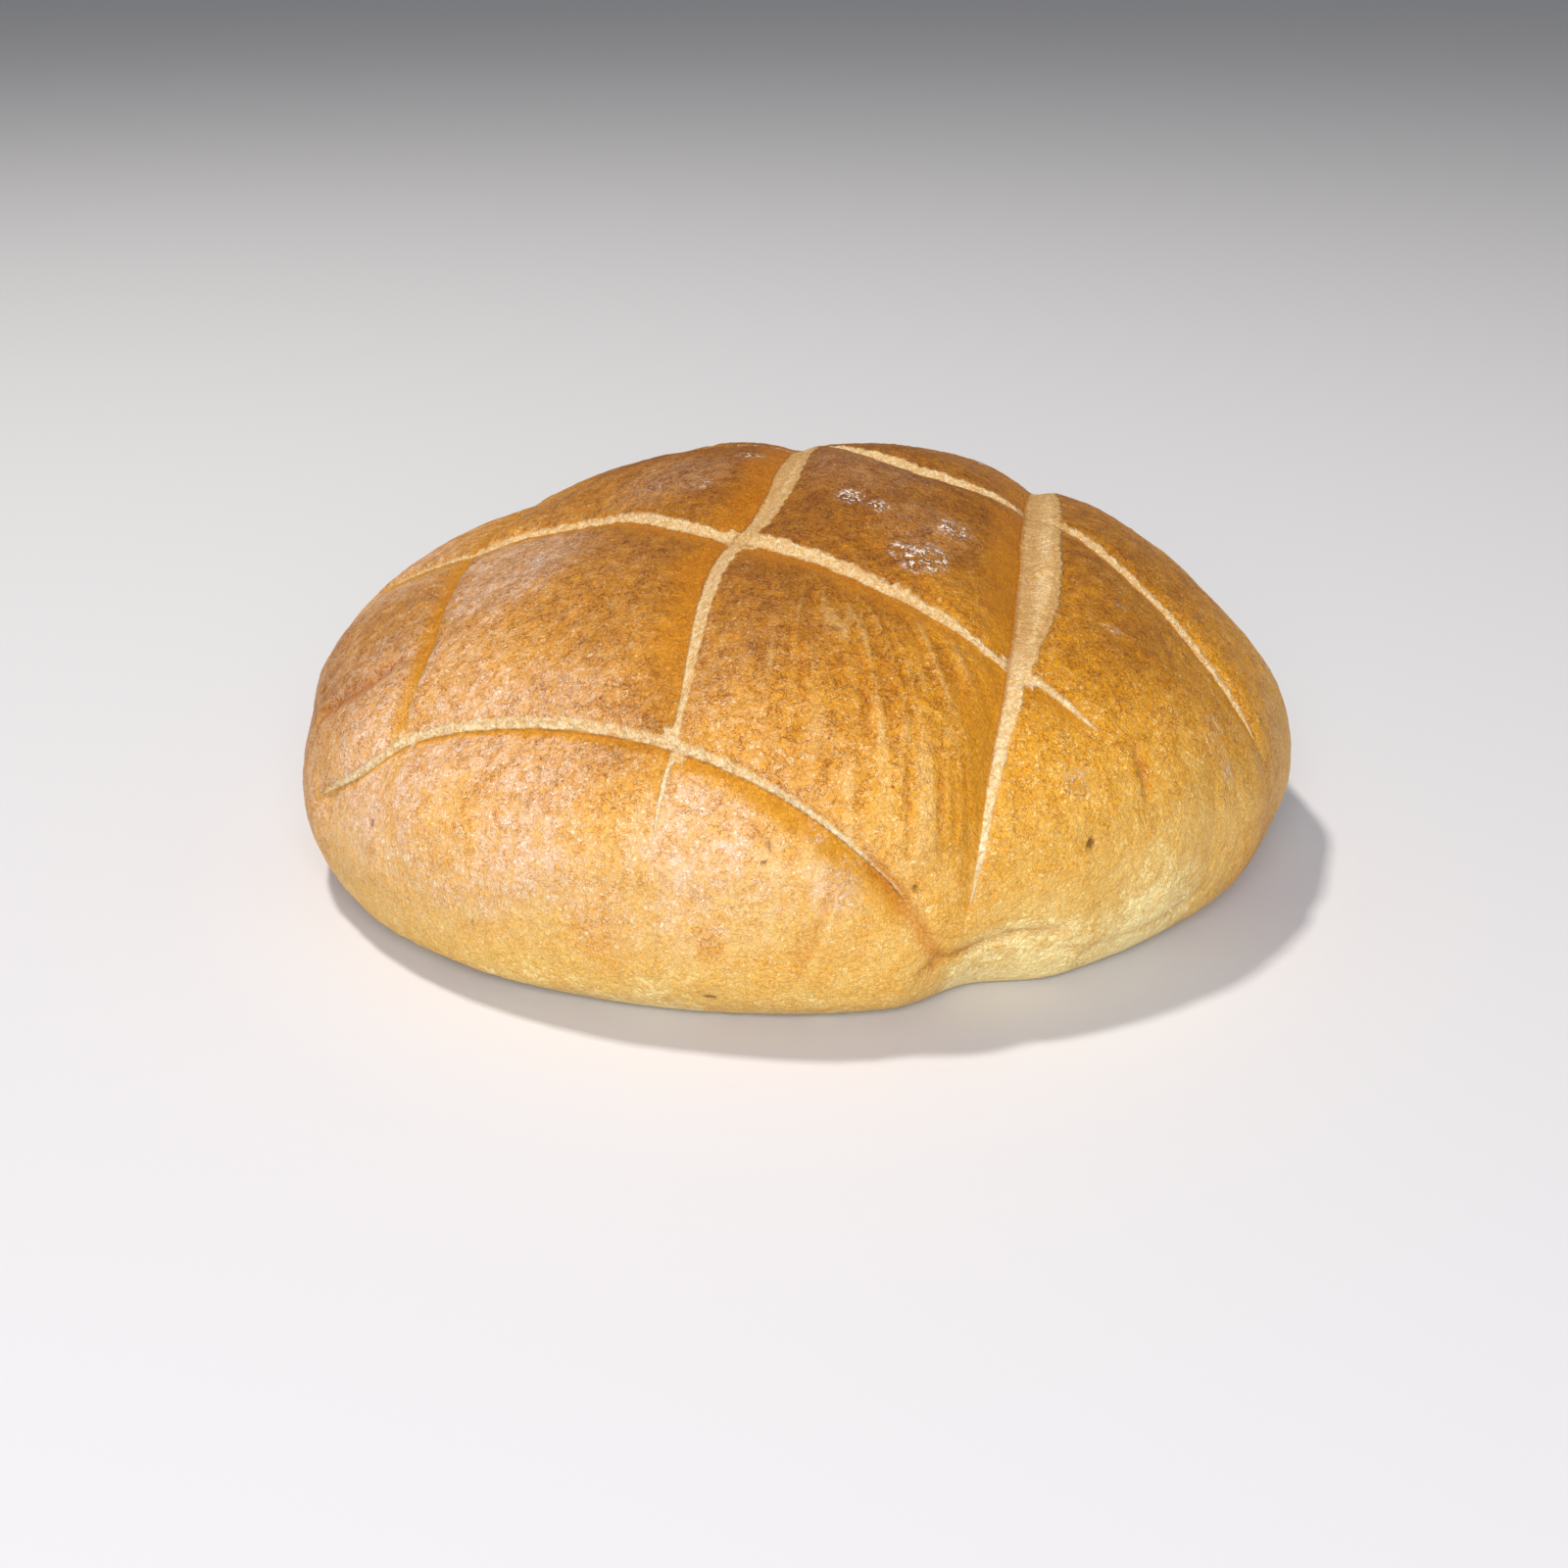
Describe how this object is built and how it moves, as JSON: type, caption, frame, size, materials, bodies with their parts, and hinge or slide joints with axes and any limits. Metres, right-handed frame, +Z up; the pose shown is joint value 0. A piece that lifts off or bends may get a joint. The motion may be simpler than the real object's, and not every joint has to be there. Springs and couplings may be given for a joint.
{
  "type": "bread loaf",
  "caption": "Round free-form loaf of wheat bread with a domed, cross-scored golden brown crust and a flat base to rest on.",
  "frame": {"origin": "middle of the footprint, on the plane the flat base rests on", "axes": "+Z up through the crown, +X to the right of the side with the fold under it, +Y away from that side"},
  "size_m": [0.1674, 0.1694, 0.0652],
  "materials": {
    "crust": "baked wheat crust, golden brown with a dull gloss, paler in the scores and near the base"
  },
  "bodies": {
    "root": {"loaf": "crust"}
  },
  "joints": []
}
